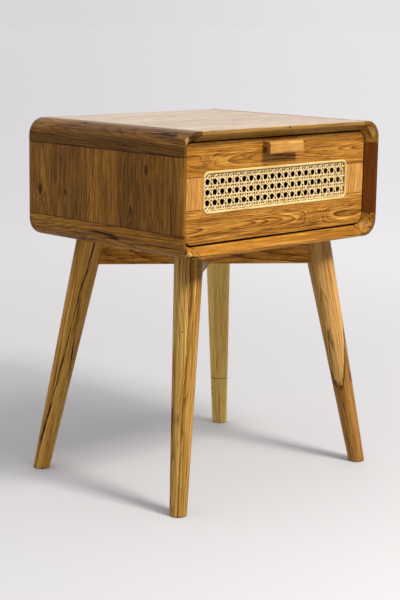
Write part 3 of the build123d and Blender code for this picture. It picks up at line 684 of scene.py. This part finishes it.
def split_cane():
    """Pale split cane, with faint bands and darker specks along the strand."""
    material, r, shader, place = new_material("split_cane")
    band = r.noise(place, (160, 160, 160), 3, 0.6)
    speck = r.rise(r.noise(place, (900, 900, 900), 2), 0.62, 0.75)
    colour = r.ramp(band, ((0.25, (0.26, 0.145, 0.040)), (0.5, (0.52, 0.370, 0.160)),
                           (0.75, (0.66, 0.53, 0.30))))
    colour = r.blend(r.math("MULTIPLY", speck, 0.45), colour, (0.12, 0.055, 0.014, 1))
    r.feed(shader.inputs["Base Color"], colour)
    shader.inputs["Roughness"].default_value = 0.38
    r.bump(shader, band, 0.3, 0.3 * MM)
    return material


def bead_cane():
    """The plain bead: smoother and a little yellower than the strands."""
    material, r, shader, place = new_material("bead_cane")
    drift = r.noise(place, (25, 25, 25), 2)
    thread = r.noise(place, (500, 500, 500), 3, 0.6)
    mixed = r.math("MULTIPLY_ADD", thread, 0.35, r.math("MULTIPLY", drift, 0.65))
    colour = r.ramp(mixed, ((0.30, (0.33, 0.200, 0.055)), (0.5, (0.48, 0.335, 0.125)),
                            (0.75, (0.56, 0.43, 0.20))))
    r.feed(shader.inputs["Base Color"], colour)
    shader.inputs["Roughness"].default_value = 0.42
    shader.inputs["Specular IOR Level"].default_value = 0.4
    r.bump(shader, thread, 0.2, 0.3 * MM)
    return material


def dress_small_things():
    """Dowels, pins and screws, and the bead round the cane."""
    beech = dowel_wood()
    steel = zinc_steel()
    for name in ("case_dowels", "leg_dowels", "frame_dowels", "drawer_dowels"):
        dress(name, beech)
    for name in ("back_pins", "runner_screws", "rail_screws", "pull_screws"):
        dress(name, steel)
    dress("cane_bead", bead_cane())


# ---------------------------------------------------------------- cane weave

PITCH = 15.9 * MM           # from hole to hole
COLUMNS = range(-11, 12)    # the upright pairs, counted from the pattern's middle
ROWS = range(-3, 3)         # the level pairs
SLANTS = range(-14, 15)     # the slanting strands of each set
PAIR_HALF = 2.5 * MM        # from a pair's middle to each of its two strands
STRAND_WIDTH = 2.3 * MM
STRAND_THICK = 0.5 * MM
WEAVE_LIFT = 0.35 * MM      # over and under at each crossing of the square strands
SLANT_LIFT = 0.85 * MM      # over and under of the slanting strands
WEAVE_SHIFT = -4.0 * MM     # the pattern sits a little left of the window's middle
WEAVE_DEPTH = 0.4 * MM      # behind the panel's front
WEAVE_EDGE = 1.2 * MM       # from the panel's edge to the strands' ends
WEAVE_CORNER = 9.0 * MM     # radius of the weave's corners
EDGE_GAP = 1.0 * MM         # a strand nearer than this to the weave's edge is left out
FEWEST_POINTS = 4           # a slanting strand of fewer points is left out
STRAND_STEP = 1.4 * MM
SECTION_SIDES = 8
OUTWARD = np.array([0.0, -1.0, 0.0])
ACROSS_SLANT = math.sqrt(0.5)


def strand_rings(points, across):
    """Rings of a flat oval section carried along a path.

    Each ring is the point plus across times half the width times cos(t), plus the
    outward direction times half the thickness times sin(t), for t round the circle.
    """
    t = np.arange(SECTION_SIDES) * 2 * np.pi / SECTION_SIDES
    flat = np.cos(t)[:, None] * np.array(across) * STRAND_WIDTH / 2
    tall = np.sin(t)[:, None] * OUTWARD * STRAND_THICK / 2
    return (points[:, None, :] + flat + tall).reshape(-1, 3)


def tube_faces(count, first):
    """Quads between count rings, and one flat cap at each end. first is the first vertex."""
    ring = np.arange(count - 1)[:, None] * SECTION_SIDES
    here = np.arange(SECTION_SIDES)[None, :]
    after = (here + 1) % SECTION_SIDES
    quads = np.stack([ring + here, ring + after, ring + SECTION_SIDES + after,
                      ring + SECTION_SIDES + here], axis=-1).reshape(-1, 4) + first
    last = first + (count - 1) * SECTION_SIDES
    start = list(range(first, first + SECTION_SIDES))[::-1]
    end = list(range(last, last + SECTION_SIDES))
    return quads.tolist() + [start, end]


def make_piece(name, vertices, faces, material, body):
    """One smooth mesh piece that rides on a body."""
    data = bpy.data.meshes.new(name)
    data.from_pydata(vertices.tolist(), [], faces)
    data.shade_smooth()
    data.update()
    piece = bpy.data.objects.new(name, data)
    bpy.context.scene.collection.objects.link(piece)
    data.materials.append(material)
    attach(piece, body)
    return piece


def lift_along(distance, crossings, lifts):
    """Height of a strand: smooth steps between its lifts at successive crossings."""
    order = np.argsort(crossings)
    at = np.asarray(crossings)[order]
    lift = np.asarray(lifts)[order]
    place = np.interp(distance, at, np.arange(len(at)))
    low = np.clip(np.floor(place).astype(int), 0, len(at) - 2)
    part = place - low
    part = part * part * (3 - 2 * part)
    return lift[low] * (1 - part) + lift[low + 1] * part


def reach(offset, half_here, half_there):
    """How far a strand at an offset runs each way, inside the weave's rounded corners."""
    over = np.maximum(0.0, np.abs(offset) - (half_there - WEAVE_CORNER))
    return half_here - WEAVE_CORNER + np.sqrt(np.maximum(0.0, WEAVE_CORNER ** 2 - over ** 2))


def weave_cane(cane):
    """Six-way cane webbing: upright and level pairs of strands, and two sets of slants.

    Upright pairs stand at whole multiples of the pitch, and level pairs at odd halves of
    it, so that one row of holes runs along the middle. The slants cross midway along each
    pair, at 45 degrees, over one kind of pair and under the other.
    """
    low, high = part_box("cane_panel")
    middle = (low + high) / 2
    half_x = (high.x - low.x) / 2 - WEAVE_EDGE
    half_z = (high.z - low.z) / 2 - WEAVE_EDGE
    plane = low.y + WEAVE_DEPTH
    columns = [k * PITCH + WEAVE_SHIFT for k in COLUMNS]
    rows = [(k + 0.5) * PITCH for k in ROWS]
    uprights = sorted(x + s * PAIR_HALF for x in columns for s in (-1, 1))
    levels = sorted(z + s * PAIR_HALF for z in rows for s in (-1, 1))
    strands = []

    def lay(x, z, lift, across):
        points = np.stack([middle.x + x, plane - lift, middle.z + z], axis=-1)
        strands.append(strand_rings(points, across))

    for i, x in enumerate(uprights):
        if abs(x) > half_x - EDGE_GAP:
            continue
        end = reach(x, half_z, half_x)
        z = np.linspace(-end, end, int(2 * end / STRAND_STEP))
        lifts = [WEAVE_LIFT * (-1) ** (i + j) for j in range(len(levels))]
        lay(np.full_like(z, x), z, lift_along(z, levels, lifts), (1, 0, 0))
    for j, z in enumerate(levels):
        if abs(z) > half_z - EDGE_GAP:
            continue
        end = reach(z, half_x, half_z)
        x = np.linspace(-end, end, int(2 * end / STRAND_STEP))
        lifts = [-WEAVE_LIFT * (-1) ** (i + j) for i in range(len(uprights))]
        lay(x, np.full_like(x, z), lift_along(x, uprights, lifts), (0, 0, 1))
    for slope in (1, -1):
        lifts = [slope * SLANT_LIFT] * len(levels) + [-slope * SLANT_LIFT] * len(uprights)
        for k in SLANTS:
            start = k * PITCH + WEAVE_SHIFT
            z = np.linspace(-half_z, half_z, int(2 * half_z / ACROSS_SLANT / STRAND_STEP))
            x = start + slope * z
            keep = (np.abs(x) < half_x) & (np.abs(x) < reach(z, half_x, half_z))
            if keep.sum() < FEWEST_POINTS:
                continue
            crossings = levels + [slope * (u - start) for u in uprights]
            lay(x[keep], z[keep], lift_along(z[keep], crossings, lifts),
                (ACROSS_SLANT, 0, -slope * ACROSS_SLANT))

    faces = []
    total = 0
    for rings in strands:
        faces += tube_faces(len(rings) // SECTION_SIDES, total)
        total += len(rings)
    piece = make_piece("cane_weave", np.concatenate(strands), faces, cane, "drawer")
    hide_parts("cane_panel")


# ------------------------------------------------------------ floor and light

KEY_FROM = Vector((0.12, -0.80, 1.02))      # the sun shines from here to the origin
KEY_STRENGTH = 1.20
KEY_ANGLE = math.radians(24)                # wide, so the shadow's edge is soft
KEY_COLOUR = (1.0, 0.98, 0.96)
BOX_PLACE = Vector((0.12, -1.32, 1.74))     # a small soft box, for the shine and shadow
BOX_TARGET = Vector((0, -0.1, 0.45))
BOX_SIZE = 0.4
BOX_POWER = 48
BOX_COLOUR = (1.0, 0.97, 0.93)

# Level directions ahead of the camera and to its right
FORWARD = Vector((0.706, 0.708, 0))
RIGHTWARD = Vector((0.708, -0.706, 0))

# The paper floor at the left and right of the view, near the table and far from it. The far
# colours are painted light: the paper is drawn brighter far from the table, and more so on the
# right, in place of lamp light there.
FLOOR_HALF = 60.0
PAPER_LEFT = (0.368, 0.364, 0.369, 1)
PAPER_RIGHT = (0.368, 0.362, 0.368, 1)
FAR_PAINTED_LIGHT_LEFT = (0.475, 0.467, 0.475, 1)
FAR_PAINTED_LIGHT_RIGHT = (0.545, 0.535, 0.545, 1)
FAR_FADE = (0.3, 2.6)           # metres from the origin
VIEW_FADE = (-0.14, 0.14)       # from the view's left edge to its right, per metre ahead

# What surrounds the floor: a dark room behind the camera, a lit backdrop ahead with a
# dimmer strip at its foot, a pale wall on the left and a bright ceiling
ROOM = (0.10, 0.10, 0.105, 1)
LEFT_FILL = (0.90, 0.89, 0.89, 1)
HORIZON_LEFT = (0.69, 0.68, 0.69, 1)
HORIZON_RIGHT = (0.79, 0.78, 0.79, 1)
BACKDROP = (1.25, 1.24, 1.25, 1)
CEILING = (1.42, 1.42, 1.44, 1)
AHEAD_FADE = (0.05, 0.75)       # these four are parts of a unit direction
WALL_FADE = (-0.2, -0.8)
CEILING_FADE = (0.35, 0.85)
HORIZON_FADE = (0.02, 0.06)


def set_floor():
    """A pale paper floor that runs to the horizon, with painted light: brighter far off and
    towards the view's right.
    """
    h = FLOOR_HALF
    data = bpy.data.meshes.new("studio_floor")
    data.from_pydata([(-h, -h, 0), (h, -h, 0), (h, h, 0), (-h, h, 0)], [], [(0, 1, 2, 3)])
    floor = bpy.data.objects.new("studio_floor", data)
    bpy.context.scene.collection.objects.link(floor)
    material, r, shader, place = new_material("studio_paper")
    ahead = r.math("MAXIMUM", beyond_plane(r, place, FORWARD, CAMERA_PLACE), 1.0)
    aside = beyond_plane(r, place, RIGHTWARD, CAMERA_PLACE)
    across = r.rise(r.math("DIVIDE", aside, ahead), *VIEW_FADE)
    near_paper = r.blend(across, PAPER_LEFT, PAPER_RIGHT)
    # painted light: the far paper is brighter than the near, the more so towards the view's
    # right
    far_painted_light = r.blend(across, FAR_PAINTED_LIGHT_LEFT, FAR_PAINTED_LIGHT_RIGHT)
    away = r.rise(r.vector("LENGTH", place), *FAR_FADE)
    r.feed(shader.inputs["Base Color"], r.blend(away, near_paper, far_painted_light))
    shader.inputs["Roughness"].default_value = 0.9
    shader.inputs["Specular IOR Level"].default_value = 0.1
    data.materials.append(material)


def add_light(name, kind, energy, colour, place, target):
    """A light at a place, aimed at a target."""
    data = bpy.data.lights.new(name, kind)
    data.energy = energy
    data.color = colour
    light = bpy.data.objects.new(name, data)
    bpy.context.scene.collection.objects.link(light)
    light.location = place
    light.rotation_euler = (target - place).to_track_quat("-Z", "Y").to_euler()
    return data


def set_lights():
    """A soft sun and a small soft box, both in front and above."""
    sun = add_light("key_sun", "SUN", KEY_STRENGTH, KEY_COLOUR, KEY_FROM, Vector((0, 0, 0)))
    sun.angle = KEY_ANGLE
    box = add_light("key_box", "AREA", BOX_POWER, BOX_COLOUR, BOX_PLACE, BOX_TARGET)
    box.shape = "SQUARE"
    box.size = BOX_SIZE


def set_world():
    """The room round the floor, as a colour for each direction."""
    world = bpy.data.worlds.new("studio")
    bpy.context.scene.world = world
    world.use_nodes = True
    r = Recipe(world.node_tree)
    heading = r.node("ShaderNodeTexCoord").outputs["Generated"]
    parts = r.node("ShaderNodeSeparateXYZ")
    r.feed(parts.inputs[0], heading)
    rising = parts.outputs[2]
    ahead = r.rise(beyond_plane(r, heading, FORWARD, (0, 0, 0)), *AHEAD_FADE)
    aside = beyond_plane(r, heading, RIGHTWARD, (0, 0, 0))
    colour = r.blend(ahead, ROOM, BACKDROP)
    colour = r.blend(r.rise(aside, *WALL_FADE), colour, LEFT_FILL)
    colour = r.blend(r.rise(rising, *CEILING_FADE), colour, CEILING)
    horizon = r.blend(r.rise(aside, *VIEW_FADE), HORIZON_LEFT, HORIZON_RIGHT)
    horizon = r.blend(ahead, ROOM, horizon)
    colour = r.blend(r.rise(rising, *HORIZON_FADE), horizon, colour)
    background = world.node_tree.nodes["Background"]
    r.feed(background.inputs["Color"], colour)
    background.inputs["Strength"].default_value = 1.0
    bpy.context.scene.view_settings.view_transform = "Standard"


set_camera()
set_floor()
set_lights()
set_world()
dress_corner_blocks()
dress_side_boards()
dress_level_boards()
dress_hidden_wood()
dress_drawer()
dress_legs()
dress_small_things()
weave_cane(split_cane())
